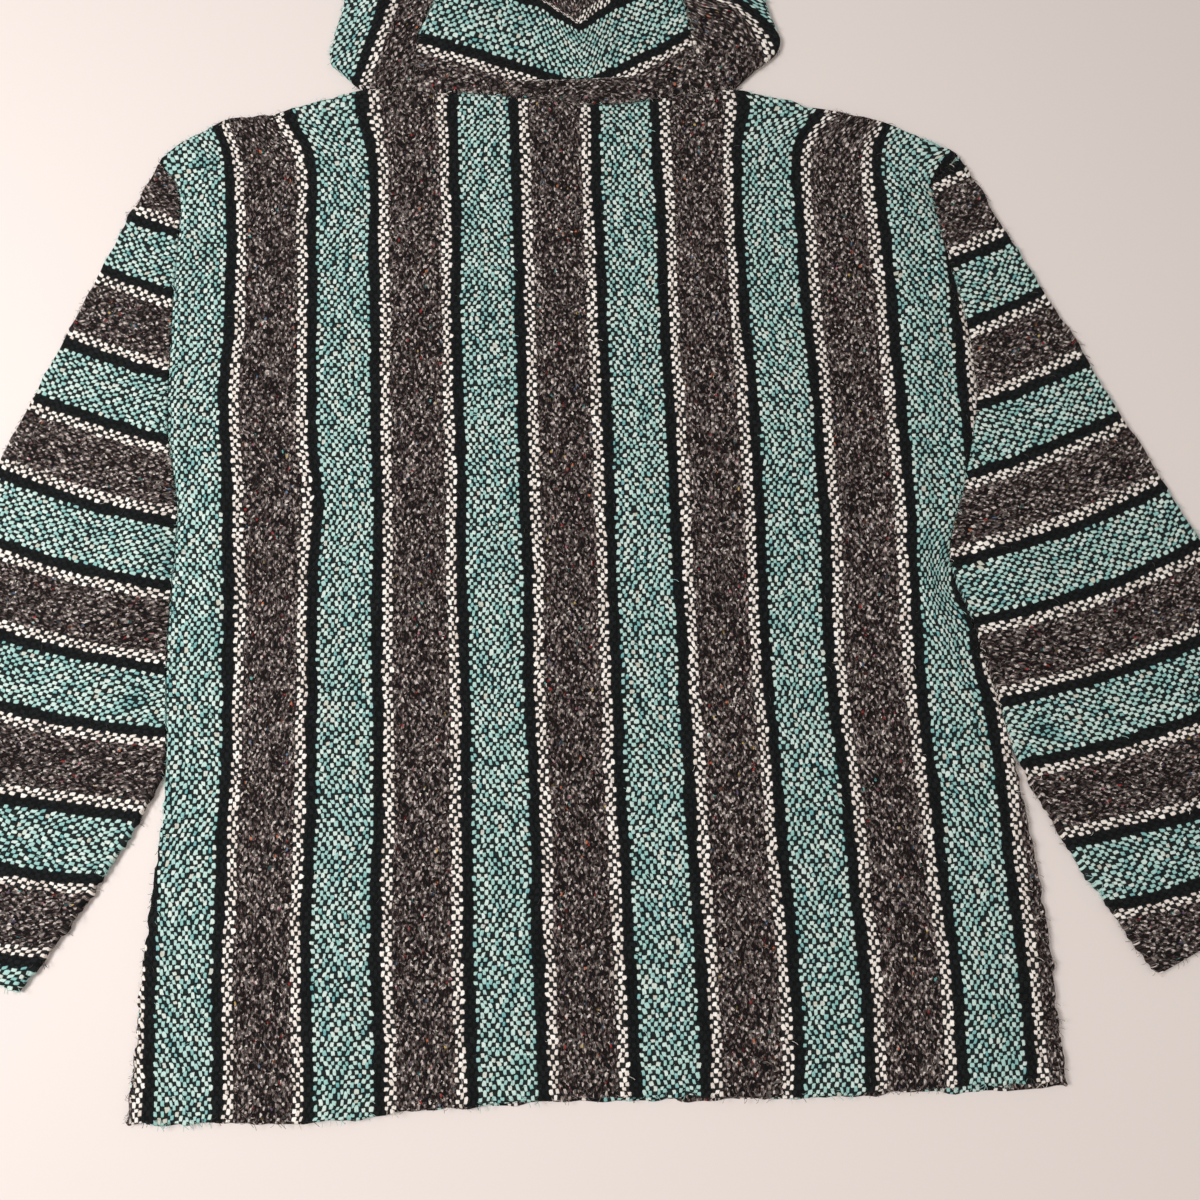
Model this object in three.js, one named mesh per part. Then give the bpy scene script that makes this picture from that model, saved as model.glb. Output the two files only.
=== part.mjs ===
import * as THREE from 'three';

// A striped baja hoodie laid flat on its front, so that its back faces up. Millimetres, +Z up.
// The cloth is drawn on the flat with two distances: x runs to the right across the back, and
// down runs from the neck seam to the hem, so it is negative on the hood. The origin lies on
// the table under the middle of the garment.

// Cloth and layers
const wall = 2.4; // thick handwoven cloth
const seam = 0.4; // gap between two pieces that are sewn together
const neckSeam = 0.8; // the same at the thicker neck seam
const slack = 0.4; // gap between two layers that lie on each other
const upper = wall + slack; // height of the upper layer's lower face
const foldRadius = (2 * wall + slack) / 2; // outside of a folded edge
const softEdge = 1.1; // how far the upper face sinks at a closed edge
const midX = 1.5; // from the origin to the midline of the back
const neckY = 187; // and to the neck seam's level

// Neck, armholes and sleeves
const neckLeft = { x: -146, down: -17 };
const neckRight = { x: 131, down: -6 };
const neckPoint = { x: 2, down: 128 }; // foot of the V neck in the front
const sideRows = 24; // steps down each side of the body, shared with the sleeves
const armholeRows = 11; // of these, the sleeve is sewn to the first
const touchRows = 5; // and lies against the next
const sleeveLength = 560;
const sleeveAngle = THREE.MathUtils.degToRad(25.5); // outwards from straight down
const cuffWidth = 182;
const sleeveRings = 15;

// Edges of the flat body, left and right
const bodySides = [
  { down: 35, left: -297, right: 294 },
  { down: 53, left: -283, right: 294 },
  { down: 76, left: -280, right: 273 },
  { down: 131, left: -283, right: 279 },
  { down: 190, left: -285, right: 289 },
  { down: 240, left: -285, right: 290 },
  { down: 300, left: -277, right: 276 },
  { down: 355, left: -280, right: 260 },
  { down: 406, left: -282, right: 273 },
  { down: 481, left: -281, right: 289 },
  { down: 564, left: -289, right: 299 },
  { down: 706, left: -302, right: 305 },
];

// Upper edge of the back: the shoulders and the back neck seam
const backTop = [
  { x: -297, down: 35 },
  { x: -276, down: 18 },
  { x: -250, down: 5 },
  { x: -201, down: -3 },
  { x: -146, down: -17 },
  { x: -96, down: -6 },
  { x: -40, down: 1 },
  { x: 30, down: 6 },
  { x: 90, down: 3 },
  { x: 131, down: -6 },
  { x: 185, down: 9 },
  { x: 248, down: 28 },
  { x: 294, down: 53 },
];

// Hem of the back, and how far the front's hem shows below it
const hemEdge = [
  { x: -302, down: 702, peep: 1 },
  { x: -240, down: 704, peep: 0 },
  { x: -180, down: 706, peep: 0 },
  { x: -74, down: 699, peep: 1 },
  { x: 20, down: 699, peep: 2 },
  { x: 137, down: 703, peep: 2 },
  { x: 206, down: 701, peep: 3 },
  { x: 255, down: 699, peep: 6 },
  { x: 305, down: 702, peep: 2 },
];

// The hood, by height above the neck seam: its outer folds and the seams of its middle strip
const hoodEdges = [
  { up: 8, outerLeft: 142, stripLeft: 112, stripRight: 120, outerRight: 133 },
  { up: 17, outerLeft: 147, stripLeft: 109, stripRight: 117, outerRight: 142 },
  { up: 40, outerLeft: 169, stripLeft: 106, stripRight: 104, outerRight: 168 },
  { up: 60, outerLeft: 168, stripLeft: 104, stripRight: 101, outerRight: 165 },
  { up: 90, outerLeft: 160, stripLeft: 92, stripRight: 97, outerRight: 157 },
  { up: 150, outerLeft: 160, stripLeft: 91, stripRight: 93, outerRight: 159 },
  { up: 220, outerLeft: 156, stripLeft: 93, stripRight: 94, outerRight: 156 },
  { up: 270, outerLeft: 141, stripLeft: 91, stripRight: 91, outerRight: 141 },
  { up: 300, outerLeft: 121, stripLeft: 86, stripRight: 86, outerRight: 121 },
  { up: 318, outerLeft: 100, stripLeft: 80, stripRight: 80, outerRight: 100 },
];
const hoodTop = 318; // where the strip's seams end at the crown
const crownRise = 14; // of the crown's middle above that
const crownTurn = 44; // how far the strip runs on underneath, to the forehead edge

// Edge of the face opening under the hood, as a distance from the midline
const faceEdge = [
  { up: -neckPoint.down, out: 4 },
  { up: -60, out: 34 },
  { up: 0, out: 55 },
  { up: 80, out: 72 },
  { up: 200, out: 86 },
  { up: hoodTop - crownTurn, out: 90 },
];

// Folds that stand up in the upper layer. turn is the angle from straight down, clockwise
const backFolds = [
  { name: 'right shoulder', x: 258, down: 88, length: 110, width: 17, height: 4.6, turn: -52 },
  { name: 'right shoulder, lower', x: 228, down: 128, length: 120, width: 20, height: 2.6, turn: -40 },
  { name: 'left shoulder', x: -246, down: 66, length: 120, width: 18, height: 4.2, turn: 48 },
  { name: 'right armhole', x: 248, down: 230, length: 180, width: 22, height: 3.2, turn: -4 },
  { name: 'right underarm', x: 240, down: 372, length: 170, width: 19, height: 5.0, turn: 7 },
  { name: 'left underarm', x: -250, down: 330, length: 190, width: 22, height: 3.8, turn: -4 },
  { name: 'left wave', x: -196, down: 430, length: 330, width: 26, height: 2.8, turn: 4 },
  { name: 'middle wave', x: -58, down: 300, length: 420, width: 40, height: 1.8, turn: 2 },
  { name: 'right wave', x: 118, down: 470, length: 360, width: 34, height: 2.2, turn: -3 },
  { name: 'hem left', x: -176, down: 668, length: 120, width: 34, height: 2.6, turn: 2 },
  { name: 'hem right', x: 252, down: 660, length: 130, width: 28, height: 2.8, turn: -4 },
  { name: 'neck', x: -4, down: 24, length: 190, width: 16, height: 2.4, turn: 90 },
];

// The same on the sleeves: x runs in from the outer edge, and down along the arm
const sleeveFolds = [
  { name: 'top of arm', x: 64, down: 96, length: 150, width: 22, height: 3.6, turn: 18 },
  { name: 'underarm', x: 126, down: 300, length: 190, width: 24, height: 4.6, turn: 4 },
  { name: 'elbow', x: 60, down: 330, length: 150, width: 26, height: 3.2, turn: -42 },
  { name: 'forearm', x: 100, down: 452, length: 130, width: 24, height: 2.8, turn: 36 },
];

const hoodFolds = [
  { name: 'bias drop', x: 18, down: -58, length: 90, width: 24, height: 3.4, turn: 2 },
  { name: 'left of the strip', x: -66, down: -110, length: 160, width: 22, height: 3.0, turn: -14 },
  { name: 'right of the strip', x: 62, down: -150, length: 170, width: 24, height: 3.2, turn: 10 },
  { name: 'left side', x: -134, down: -84, length: 120, width: 17, height: 3.4, turn: 6 },
  { name: 'right side', x: 134, down: -66, length: 110, width: 18, height: 3.8, turn: -12 },
  { name: 'crown', x: 0, down: -262, length: 150, width: 24, height: 3.6, turn: 84 },
];

const { lerp, clamp, smoothstep, degToRad } = THREE.MathUtils;

// Reads one column of a table at a place between its rows, on a smooth curve through them.
function readTable(table, key, value, at) {
  const last = table.length - 1;
  if (at <= table[0][key]) return table[0][value];
  if (at >= table[last][key]) return table[last][value];
  const row = table.findIndex((entry) => entry[key] > at) - 1;
  const slope = (i) => {
    const before = table[Math.max(i - 1, 0)];
    const after = table[Math.min(i + 1, last)];
    return (after[value] - before[value]) / (after[key] - before[key]);
  };
  const span = table[row + 1][key] - table[row][key];
  const t = (at - table[row][key]) / span;
  const start = table[row][value] * (2 * t ** 3 - 3 * t ** 2 + 1);
  const end = table[row + 1][value] * (3 * t ** 2 - 2 * t ** 3);
  return start + end + span * (slope(row) * (t ** 3 - 2 * t ** 2 + t) + slope(row + 1) * (t ** 3 - t ** 2));
}

// Numbers that pass through each stop, with so many even steps from one stop to the next.
function stepsBetween(stops, counts) {
  const list = [stops[0]];
  counts.forEach((count, i) => {
    for (let k = 1; k <= count; k += 1) list.push(lerp(stops[i], stops[i + 1], k / count));
  });
  return list;
}

// Height that the folds give the upper layer at a place on the flat.
function foldHeight(folds, x, down) {
  let height = 0;
  for (const fold of folds) {
    const turn = degToRad(fold.turn);
    const along = (down - fold.down) * Math.cos(turn) + (x - fold.x) * Math.sin(turn);
    const across = (x - fold.x) * Math.cos(turn) - (down - fold.down) * Math.sin(turn);
    const reach = clamp(1 - (2 * along / fold.length) ** 2, 0, 1);
    height += fold.height * reach * Math.exp(-((across / fold.width) ** 2));
  }
  return height;
}

// A point of the flat cloth, lifted to a height.
function place(x, down, z) {
  return new THREE.Vector3(midX + x, neckY - down, z);
}

// Makes one closed solid from a grid of paired points, one on each face of the cloth. A tube's
// grid closes on itself in its first direction.
function clothSolid(name, color, wide, long, pairAt, isTube = false) {
  const corners = [];
  const columns = isTube ? wide : wide + 1;
  for (let i = 0; i < columns; i += 1) {
    for (let j = 0; j <= long; j += 1) corners.push(...pairAt(i, j));
  }
  const at = (i, j, face) => 2 * ((i % columns) * (long + 1) + j) + face;
  const indices = [];
  const quad = (a, b, c, d) => indices.push(a, b, c, a, c, d);
  for (let i = 0; i < wide; i += 1) {
    for (let j = 0; j < long; j += 1) {
      quad(at(i, j, 0), at(i, j + 1, 0), at(i + 1, j + 1, 0), at(i + 1, j, 0));
      quad(at(i, j, 1), at(i + 1, j, 1), at(i + 1, j + 1, 1), at(i, j + 1, 1));
    }
    quad(at(i, 0, 0), at(i + 1, 0, 0), at(i + 1, 0, 1), at(i, 0, 1));
    quad(at(i, long, 0), at(i, long, 1), at(i + 1, long, 1), at(i + 1, long, 0));
  }
  for (let j = 0; j < long && !isTube; j += 1) {
    quad(at(0, j, 0), at(0, j, 1), at(0, j + 1, 1), at(0, j + 1, 0));
    quad(at(wide, j, 0), at(wide, j + 1, 0), at(wide, j + 1, 1), at(wide, j, 1));
  }
  let volume = 0;
  for (let k = 0; k < indices.length; k += 3) {
    const [a, b, c] = indices.slice(k, k + 3).map((corner) => corners[corner]);
    volume += a.dot(b.clone().cross(c));
  }
  if (volume < 0) indices.reverse();
  const geometry = new THREE.BufferGeometry().setFromPoints(corners);
  geometry.setIndex(indices);
  geometry.computeVertexNormals();
  const material = new THREE.MeshStandardMaterial({ color, roughness: 0.95, metalness: 0 });
  const mesh = new THREE.Mesh(geometry, material);
  mesh.name = name;
  return mesh;
}

// The rows down one side of the body, from the shoulder point to the hem. Body and sleeve both
// follow these straight steps, so the seam between them stays open by the same gap.
function sideSteps(side) {
  const tip = side === 'left' ? backTop[0] : backTop[backTop.length - 1];
  const foot = side === 'left' ? hemEdge[0] : hemEdge[hemEdge.length - 1];
  return stepsBetween([tip.down, foot.down], [sideRows]).map((down) => ({
    down,
    x: readTable(bodySides, 'down', side, down),
  }));
}

function onSteps(steps, row) {
  const before = Math.min(Math.floor(row), steps.length - 2);
  const part = row - before;
  return {
    x: lerp(steps[before].x, steps[before + 1].x, part),
    down: lerp(steps[before].down, steps[before + 1].down, part),
  };
}

const sides = { left: sideSteps('left'), right: sideSteps('right') };

// A body panel's columns run from its upper edge to the hem. At the top they keep their place
// across the shoulders, and further down they share out the width between the sides.
function bodyPoint(across, row, upperEdge, lowerEdge) {
  if (across === 0) return sides.left[row];
  if (across === 1) return sides.right[row];
  const part = row / sideRows;
  const topX = lerp(backTop[0].x, backTop[backTop.length - 1].x, across);
  const hemX = lerp(hemEdge[0].x, hemEdge[hemEdge.length - 1].x, across);
  const widthAt = (down) => {
    const left = readTable(bodySides, 'down', 'left', down);
    return lerp(left, readTable(bodySides, 'down', 'right', down), across);
  };
  const down = lerp(upperEdge(topX), lowerEdge(hemX), part);
  const drift = topX - widthAt(upperEdge(topX));
  return { x: widthAt(down) + drift * (1 - part) ** 2, down };
}

const shoulderSpan = backTop[backTop.length - 1].x - backTop[0].x;
const acrossAt = (x) => (x - backTop[0].x) / shoulderSpan;
const topEdge = (x) => readTable(backTop, 'x', 'down', x);
const backHem = (x) => readTable(hemEdge, 'x', 'down', x);
const frontHem = (x) => backHem(x) + readTable(hemEdge, 'x', 'peep', x);

function frontTop(x) {
  if (x <= neckLeft.x || x >= neckRight.x) return topEdge(x);
  const corner = x < neckPoint.x ? neckLeft : neckRight;
  return lerp(corner.down, neckPoint.down, (x - corner.x) / (neckPoint.x - corner.x));
}

function frontPanel() {
  const stops = [0, acrossAt(neckLeft.x), acrossAt(neckPoint.x), acrossAt(neckRight.x), 1];
  const columns = stepsBetween(stops, [3, 4, 4, 3]);
  return clothSolid('front_panel', '#6f9d98', columns.length - 1, sideRows, (i, row) => {
    const { x, down } = bodyPoint(columns[i], row, frontTop, frontHem);
    return [place(x, down, wall), place(x, down, 0)];
  });
}

function backPanel() {
  const nearEdge = 0.012;
  const stops = [0, nearEdge, acrossAt(neckLeft.x), acrossAt(neckPoint.x), acrossAt(neckRight.x), 1 - nearEdge, 1];
  const columns = stepsBetween(stops, [1, 6, 6, 6, 6, 1]);
  return clothSolid('back_panel', '#6fb3ad', columns.length - 1, sideRows, (i, row) => {
    const across = columns[i];
    const { x, down } = bodyPoint(across, row, topEdge, backHem);
    const fromSide = Math.min(across, 1 - across) * shoulderSpan;
    const fromTop = down - topEdge(x);
    const fade = smoothstep(fromSide, 0, 26) * smoothstep(fromTop, -4, 26);
    const lift = foldHeight(backFolds, x, down) * fade;
    const isEdge = i === 0 || i === columns.length - 1 || row === 0;
    return [place(x, down, upper + wall + lift - (isEdge ? softEdge : 0)), place(x, down, upper + lift)];
  });
}

// A sleeve is a tube pressed flat. Its rings run from the armhole, or further down from the
// place where the sleeve lies against the body, to the cuff.
function sleeve(side) {
  const sign = side === 'left' ? -1 : 1;
  const steps = sides[side];
  const clear = (point) => ({ x: point.x + sign * seam, down: point.down });
  const tip = clear(steps[0]);
  const away = { x: sign * Math.sin(sleeveAngle), down: Math.cos(sleeveAngle) };
  const cuffOuter = { x: tip.x + away.x * sleeveLength, down: tip.down + away.down * sleeveLength };
  const cuffInner = { x: cuffOuter.x - sign * away.down * cuffWidth, down: cuffOuter.down + sign * away.x * cuffWidth };
  const leave = clear(steps[armholeRows + touchRows]);
  const freeRings = sleeveRings - touchRows;
  const bend = 5; // how far the free inner edge bows in towards the body

  const innerAt = (ring) => {
    if (ring <= touchRows) return clear(steps[armholeRows + ring]);
    const part = (ring - touchRows) / freeRings;
    const bow = 4 * bend * part * (1 - part);
    return {
      x: lerp(leave.x, cuffInner.x, part) - sign * bow * away.down,
      down: lerp(leave.down, cuffInner.down, part) + bow * Math.abs(away.x),
    };
  };
  const flatAt = (across, ring) => {
    const part = ring / sleeveRings;
    const outer = { x: lerp(tip.x, cuffOuter.x, part), down: lerp(tip.down, cuffOuter.down, part) };
    const inner = innerAt(ring);
    const seamPoint = clear(onSteps(steps, across * armholeRows));
    const straight = {
      x: lerp(tip.x, clear(steps[armholeRows]).x, across),
      down: lerp(tip.down, steps[armholeRows].down, across),
    };
    const pull = (1 - part) ** 3;
    return {
      x: lerp(outer.x, inner.x, across) + pull * (seamPoint.x - straight.x),
      down: lerp(outer.down, inner.down, across) + pull * (seamPoint.down - straight.down),
    };
  };
  const liftAt = (flat, across, ring) => {
    const along = (flat.x - tip.x) * away.x + (flat.down - tip.down) * away.down;
    const out = Math.abs((flat.x - tip.x) * away.down - (flat.down - tip.down) * away.x);
    const fade = smoothstep(Math.min(across, 1 - across), 0, 0.16) * smoothstep(ring, 0, 2);
    const hem = smoothstep(sleeveRings - ring, -0.5, 1.5);
    return foldHeight(sleeveFolds, out, along) * fade * hem;
  };

  // Once round: the upper layer, the inner fold, the lower layer and the outer fold
  const layers = armholeRows;
  const round = [];
  for (let k = 0; k <= layers; k += 1) round.push({ across: k / layers, angle: 90 });
  for (const angle of [45, 0, -45]) round.push({ across: 1, angle });
  for (let k = layers; k >= 0; k -= 1) round.push({ across: k / layers, angle: -90 });
  for (const angle of [-45, 0, 45]) round.push({ across: 0, angle });

  return clothSolid(`sleeve_${side}`, '#7d8a88', round.length, sleeveRings, (i, ring) => {
    const outer = flatAt(0, ring);
    const inner = flatAt(1, ring);
    const width = Math.hypot(inner.x - outer.x, inner.down - outer.down);
    const { across, angle } = round[i];
    const held = clamp(across, foldRadius / width, 1 - foldRadius / width);
    const flat = flatAt(held, ring);
    const end = flatAt(across, ring);
    const lift = angle > 0 ? liftAt(flat, across, ring) : 0;
    return [foldRadius, foldRadius - wall].map((radius) => {
      const over = (radius / foldRadius) * Math.cos(degToRad(angle));
      const x = lerp(flat.x, end.x, over);
      const down = lerp(flat.down, end.down, over);
      return place(x, down, foldRadius + radius * Math.sin(degToRad(angle)) + lift);
    });
  }, true);
}

const hoodEdge = (side, which, up) => readTable(hoodEdges, 'up', which + (side === 'left' ? 'Left' : 'Right'), up);
const neckCorner = (side) => (side === 'left' ? neckLeft : neckRight);
const crownUp = hoodTop - foldRadius;

// The seam between the middle strip and a side, from the neck to the crown.
function stripSeam(side, part) {
  const sign = side === 'left' ? -1 : 1;
  const footX = hoodEdge(side, 'strip', -neckCorner(side).down);
  const up = lerp(neckSeam - topEdge(sign * footX), crownUp, part);
  return { out: hoodEdge(side, 'strip', up), up };
}

// The hood's middle strip rises from the neck seam to the crown, turns over it and runs on
// underneath to the edge over the forehead.
function hoodCentre() {
  const wide = 12;
  const rising = 13;
  const returning = 3;
  const rows = stepsBetween([0, 1], [rising]).map((part) => ({ part, angle: 90, back: 0 }));
  for (const angle of [45, 0, -45]) rows.push({ part: 1, angle, back: 0 });
  for (let k = 0; k <= returning; k += 1) rows.push({ part: 1, angle: -90, back: k / returning });

  return clothSolid('hood_centre', '#5f8f8b', wide, rows.length - 1, (i, row) => {
    const { part, angle, back } = rows[row];
    const across = i / wide;
    const left = stripSeam('left', part);
    const right = stripSeam('right', part);
    const foot = { left: stripSeam('left', 0), right: stripSeam('right', 0) };
    const footX = lerp(-foot.left.out, foot.right.out, across);
    const sag = neckSeam - topEdge(footX) - lerp(foot.left.up, foot.right.up, across);
    const crown = crownRise * (1 - (2 * across - 1) ** 2);
    const rise = lerp(left.up, right.up, across) + (1 - part) * sag + part * crown;
    const up = rise - back * (crownTurn + crown);
    const sideUp = crownUp - back * crownTurn;
    const x = part < 1
      ? lerp(-left.out, right.out, across)
      : lerp(-hoodEdge('left', 'strip', sideUp), hoodEdge('right', 'strip', sideUp), across);
    const nearSeam = smoothstep(Math.min(across, 1 - across), 0, 0.14);
    const nearEnds = smoothstep(part, 0, 0.12) * smoothstep(1 - part, 0, 0.1);
    const lift = angle > 0 ? foldHeight(hoodFolds, x, -up) * nearSeam * nearEnds : 0;
    return [foldRadius, foldRadius - wall].map((radius) => {
      const over = radius * Math.cos(degToRad(angle));
      return place(x, -(up + over), foldRadius + radius * Math.sin(degToRad(angle)) + lift);
    });
  });
}

// A side of the hood lies on itself: its upper layer runs from the strip's seam out to a fold,
// and its lower layer from there back to the face opening and down to the foot of the V neck.
function hoodSide(side) {
  const sign = side === 'left' ? -1 : 1;
  const corner = neckCorner(side);
  const rising = 13;
  const upperSteps = 4;
  const lowerSteps = 6;
  const meetPoint = 0.965; // how far down the V the face opening ends
  const flapClearance = 3; // beside the strip's turned end
  const round = [];
  for (let k = 0; k <= upperSteps; k += 1) round.push({ layer: 1, out: k / upperSteps, angle: 90 });
  for (const angle of [45, 0, -45]) round.push({ layer: 0, out: 1, angle });
  for (let k = lowerSteps; k >= 0; k -= 1) round.push({ layer: -1, out: k / lowerSteps, angle: -90 });

  const stripAt = (part) => {
    const { out, up } = stripSeam(side, part);
    return { x: out + seam, up };
  };
  const outerAt = (part) => {
    const up = lerp(neckSeam - corner.down, crownUp, part);
    return { x: hoodEdge(side, 'outer', up) - foldRadius, up };
  };
  const faceAt = (part) => {
    const footX = sign * lerp(corner.x, neckPoint.x, meetPoint);
    const footUp = neckSeam - lerp(corner.down, neckPoint.down, meetPoint);
    const up = lerp(footUp, crownUp, part);
    const open = readTable(faceEdge, 'up', 'out', up);
    const toFoot = (1 - part) ** 6 * (footX - readTable(faceEdge, 'up', 'out', footUp));
    const besideFlap = hoodEdge(side, 'strip', up) + flapClearance;
    return { x: up > crownUp - crownTurn - 6 ? besideFlap : open + toFoot, up };
  };
  const foot = { strip: stripAt(0), outer: outerAt(0) };

  return clothSolid(`hood_side_${side}`, '#5d5355', round.length - 1, rising, (i, row) => {
    const { layer, out, angle } = round[i];
    const part = row / rising;
    const from = layer < 0 ? faceAt(part) : stripAt(part);
    const to = outerAt(part);
    const x = lerp(from.x, to.x, out);
    const footX = lerp(foot.strip.x, foot.outer.x, out);
    const sag = neckSeam - topEdge(sign * footX) - lerp(foot.strip.up, foot.outer.up, out);
    const up = lerp(from.up, to.up, out) + (layer > 0 ? (1 - part) ** 4 * sag : 0);
    const fade = layer > 0 ? Math.sin(Math.PI * out) : 0;
    const ends = smoothstep(part, 0, 0.12) * smoothstep(1 - part, 0, 0.1);
    const lift = foldHeight(hoodFolds, sign * x, -up) * fade * ends;
    return [foldRadius, foldRadius - wall].map((radius) => {
      const over = radius * Math.cos(degToRad(angle));
      return place(sign * (x + over), -up, foldRadius + radius * Math.sin(degToRad(angle)) + lift);
    });
  });
}

const bajaHoodie = new THREE.Group();
bajaHoodie.add(
  frontPanel(),
  backPanel(),
  sleeve('left'),
  sleeve('right'),
  hoodCentre(),
  hoodSide('left'),
  hoodSide('right'),
);

export default bajaHoodie;
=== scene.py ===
"""Visual model of a striped baja hoodie that lies flat on its front, so that its back faces up.

Lengths are in millimetres up to the point where a mesh is made, and x, down and up are the
distances on the flat cloth that the CAD part uses: x to the right of the midline, down from
the neck seam to the hem, and up from the neck seam over the hood.
"""

import math

import bpy
import numpy as np
from mathutils import Matrix, Vector


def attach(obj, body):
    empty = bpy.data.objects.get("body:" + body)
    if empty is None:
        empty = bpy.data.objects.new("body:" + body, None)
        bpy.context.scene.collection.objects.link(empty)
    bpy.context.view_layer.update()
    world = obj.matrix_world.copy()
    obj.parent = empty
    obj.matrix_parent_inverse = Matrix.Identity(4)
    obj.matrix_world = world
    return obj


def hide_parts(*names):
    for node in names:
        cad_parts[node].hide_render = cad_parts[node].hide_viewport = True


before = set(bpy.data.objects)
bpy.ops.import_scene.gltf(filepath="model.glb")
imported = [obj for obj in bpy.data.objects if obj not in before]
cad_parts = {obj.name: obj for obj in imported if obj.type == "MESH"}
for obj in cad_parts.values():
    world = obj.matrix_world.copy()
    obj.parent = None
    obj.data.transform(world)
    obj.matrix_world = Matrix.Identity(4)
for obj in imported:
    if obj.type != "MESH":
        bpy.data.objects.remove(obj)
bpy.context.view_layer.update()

scene = bpy.context.scene

# Camera. It stands over the middle of the back and looks almost straight down, a little towards
# the neck, with a fairly wide lens. The photo crops the hood and both sleeves.
camera_at = Vector((0.0137, -0.280, 0.654))
camera_to = Vector((0.0174, -0.188, 0.005))
camera_up = Vector((0.040, 0.999, 0.0))
back_axis = (camera_at - camera_to).normalized()
side_axis = camera_up.cross(back_axis).normalized()
top_axis = back_axis.cross(side_axis)
turn = Matrix((side_axis, top_axis, back_axis)).transposed().to_4x4()
camera = bpy.data.objects.new("camera", bpy.data.cameras.new("camera"))
camera.data.lens = 28.5
camera.data.sensor_width = 36
camera.data.clip_start = 0.01
camera.matrix_world = Matrix.Translation(camera_at) @ turn
scene.collection.objects.link(camera)
scene.camera = camera
scene.view_settings.view_transform = "Standard"


# Light. A wide soft lamp stands up and to the left, as a window would, and a pale room fills
# the shadows. The shadows fall softly to the lower right.
def linear(code):
    """Linear colour from sRGB hex."""
    parts = [int(code[k:k + 2], 16) / 255 for k in (1, 3, 5)]
    return [c / 12.92 if c <= 0.04045 else ((c + 0.055) / 1.055) ** 2.4 for c in parts] + [1.0]


def add(tree, kind, inputs=(), **settings):
    """Adds a node with its settings, values and links, and returns its first output."""
    node = tree.nodes.new(kind)
    for name, value in settings.items():
        setattr(node, name, value)
    pairs = inputs.items() if isinstance(inputs, dict) else enumerate(inputs)
    for name, value in pairs:
        if isinstance(value, bpy.types.NodeSocket):
            tree.links.new(value, node.inputs[name])
        elif value is not None:
            node.inputs[name].default_value = value
    return node.outputs[0] if node.outputs else node


lamps = [
    {"name": "window_light", "at": (-1.15, -0.1, 1.35), "size": 0.6, "power": 26, "colour": "#FFFFFF"},
    {"name": "room_light", "at": (0.5, -1.2, 1.6), "size": 1.6, "power": 7, "colour": "#FFFBF6"},
]
for lamp in lamps:
    light = bpy.data.lights.new(lamp["name"], "AREA")
    light.size = lamp["size"]
    light.energy = lamp["power"]
    light.color = linear(lamp["colour"])[:3]
    holder = bpy.data.objects.new(lamp["name"], light)
    holder.location = lamp["at"]
    aim = Vector((0, -0.2, 0)) - holder.location
    holder.rotation_euler = aim.to_track_quat("-Z", "Y").to_euler()
    scene.collection.objects.link(holder)

world = bpy.data.worlds.new("pale_room")
world.use_nodes = True
world.node_tree.nodes["Background"].inputs["Color"].default_value = linear("#FFFBF8")
world.node_tree.nodes["Background"].inputs["Strength"].default_value = 0.4
scene.world = world

# Floor. A plain pale table top, painted matt, on which the garment lies.
floor_paint = bpy.data.materials.new("matt_cream_paint")
floor_paint.use_nodes = True
tree = floor_paint.node_tree
paint = tree.nodes["Principled BSDF"]
paint.inputs["Base Color"].default_value = linear("#E1D6D1")
paint.inputs["Roughness"].default_value = 0.7
spot = add(tree, "ShaderNodeTexCoord").node.outputs["Object"]
grain = add(tree, "ShaderNodeTexNoise", {"Vector": spot, "Scale": 260.0, "Detail": 3.0})
relief = add(tree, "ShaderNodeBump", {"Height": grain, "Strength": 0.12, "Distance": 0.0004})
tree.links.new(relief, paint.inputs["Normal"])
floor_half = 2.2
floor_mesh = bpy.data.meshes.new("floor")
floor_mesh.from_pydata(
    [(x * floor_half, y * floor_half, 0) for x, y in ((-1, -1), (1, -1), (1, 1), (-1, 1))],
    [],
    [(0, 1, 2, 3)],
)
floor_mesh.materials.append(floor_paint)
floor = bpy.data.objects.new("floor", floor_mesh)
scene.collection.objects.link(floor)


# Cloth. Every piece is cut from one handwoven cloth: coloured ends run along the stripes and a
# black crosswise yarn goes over and under them, so each end shows as a row of short floats.
end_pitch = 2.375  # between two ends, mm
pick_pitch = 3.0  # between two crosswise yarns, mm
repeat_ends = 44  # brown 16, white 3, black 3, teal 16, black 3, white 3
teal_reach = 8.0  # ends from the middle of the teal to the black, and so on outwards
black_reach = 11.0
white_reach = 14.0
loose = 0.34  # how far a float strays from its even place


def ramp(tree, factor, stops, blend="LINEAR"):
    """Colours along a factor from 0 to 1."""
    node = add(tree, "ShaderNodeValToRGB", {"Fac": factor}).node
    node.color_ramp.interpolation = blend
    while len(node.color_ramp.elements) < len(stops):
        node.color_ramp.elements.new(0.5)
    for element, (position, code) in zip(node.color_ramp.elements, stops):
        element.position = position
        element.color = linear(code)
    return node.outputs[0]


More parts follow.
